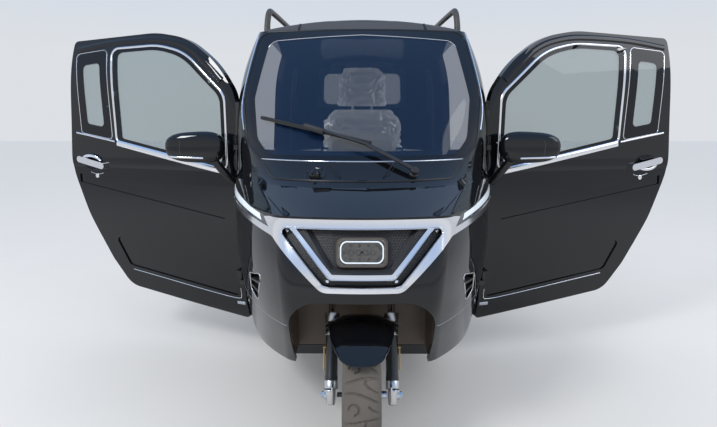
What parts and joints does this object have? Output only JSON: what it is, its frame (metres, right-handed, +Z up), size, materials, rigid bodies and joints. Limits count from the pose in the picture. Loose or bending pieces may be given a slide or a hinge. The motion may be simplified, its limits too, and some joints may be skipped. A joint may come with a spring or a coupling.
{
  "type": "three wheeled car",
  "caption": "Enclosed electric trike car with a steered front wheel, two hinged doors standing open, a tinted curved windscreen and a bright framed grille.",
  "frame": {"origin": "on the floor under the middle of the vehicle", "axes": "+X to the vehicle's left, nose towards -Y, +Z up"},
  "size_m": [3.0514, 2.398, 1.6919],
  "materials": {
    "gloss_black": "gloss black paint under clear coat",
    "matte_black": "moulded black plastic",
    "tinted_glass": "tinted safety glass",
    "chrome": "bright plated trim",
    "clear_lens": "clear lamp lens",
    "red_lens": "red lamp lens",
    "tyre_rubber": "black tyre rubber",
    "rim_alloy": "cast wheel",
    "frame_steel": "black painted steel",
    "fork_alloy": "cast and turned fork legs",
    "seat_fabric": "seat cover",
    "grey_plastic": "moulded grey plastic"
  },
  "bodies": {
    "chassis": {"battery_box": "grey_plastic", "centre_headlamp": "clear_lens", "chassis_frame": "frame_steel", "chrome_trim": "chrome", "cowl_panel": "gloss_black", "dashboard": "matte_black", "door_hinges": "frame_steel", "driver_seat": "seat_fabric", "firewall": "frame_steel", "floor_pan": "frame_steel", "front_arch_liner": "matte_black", "front_body": "gloss_black", "grille_panel": "matte_black", "rear_arch_liners": "matte_black", "rear_axle": "frame_steel", "rear_bench": "seat_fabric", "rear_body": "gloss_black", "rear_bumper": "gloss_black", "rear_springs": "frame_steel", "rear_window": "tinted_glass", "roof_panel": "gloss_black", "roof_rails": "matte_black", "side_lamps": "clear_lens", "side_vents": "matte_black", "tail_lamps": "red_lens", "windshield": "tinted_glass", "wiper": "matte_black"},
    "steering": {"fork": "fork_alloy", "front_axle": "frame_steel", "handlebar": "frame_steel", "front_fender": "gloss_black"},
    "front_wheel": {"front_wheel_rim": "rim_alloy", "front_wheel_tyre": "tyre_rubber"},
    "rear_wheel_left": {"rear_wheel_left_rim": "rim_alloy", "rear_wheel_left_tyre": "tyre_rubber"},
    "rear_wheel_right": {"rear_wheel_right_rim": "rim_alloy", "rear_wheel_right_tyre": "tyre_rubber"},
    "door_left": {"door_left_glass": "tinted_glass", "door_left_handle": "gloss_black", "door_left_mirror": "gloss_black", "door_left_shell": "gloss_black"},
    "door_right": {"door_right_glass": "tinted_glass", "door_right_handle": "gloss_black", "door_right_mirror": "gloss_black", "door_right_shell": "gloss_black"}
  },
  "joints": [
    {"name": "steer", "type": "hinge", "parent": "chassis", "child": "steering", "pos_m": [0, -0.69339, 0.69], "axis": [0, 0.454, 0.891], "range_deg": [-35, 35]},
    {"name": "front_wheel_spin", "type": "hinge", "parent": "steering", "child": "front_wheel", "pos_m": [0, -0.964, 0.236], "axis": [1, 0, 0], "continuous": true},
    {"name": "rear_wheel_left_spin", "type": "hinge", "parent": "chassis", "child": "rear_wheel_left", "pos_m": [0.46, 0.88, 0.247], "axis": [1, 0, 0], "continuous": true},
    {"name": "rear_wheel_right_spin", "type": "hinge", "parent": "chassis", "child": "rear_wheel_right", "pos_m": [-0.46, 0.88, 0.247], "axis": [1, 0, 0], "continuous": true},
    {"name": "door_left_hinge", "type": "hinge", "parent": "chassis", "child": "door_left", "pos_m": [0.57, -0.221, 0.7], "axis": [0, 0, 1], "range_deg": [0, 75]},
    {"name": "door_right_hinge", "type": "hinge", "parent": "chassis", "child": "door_right", "pos_m": [-0.57, -0.221, 0.7], "axis": [0, 0, -1], "range_deg": [-5, 70]}
  ]
}
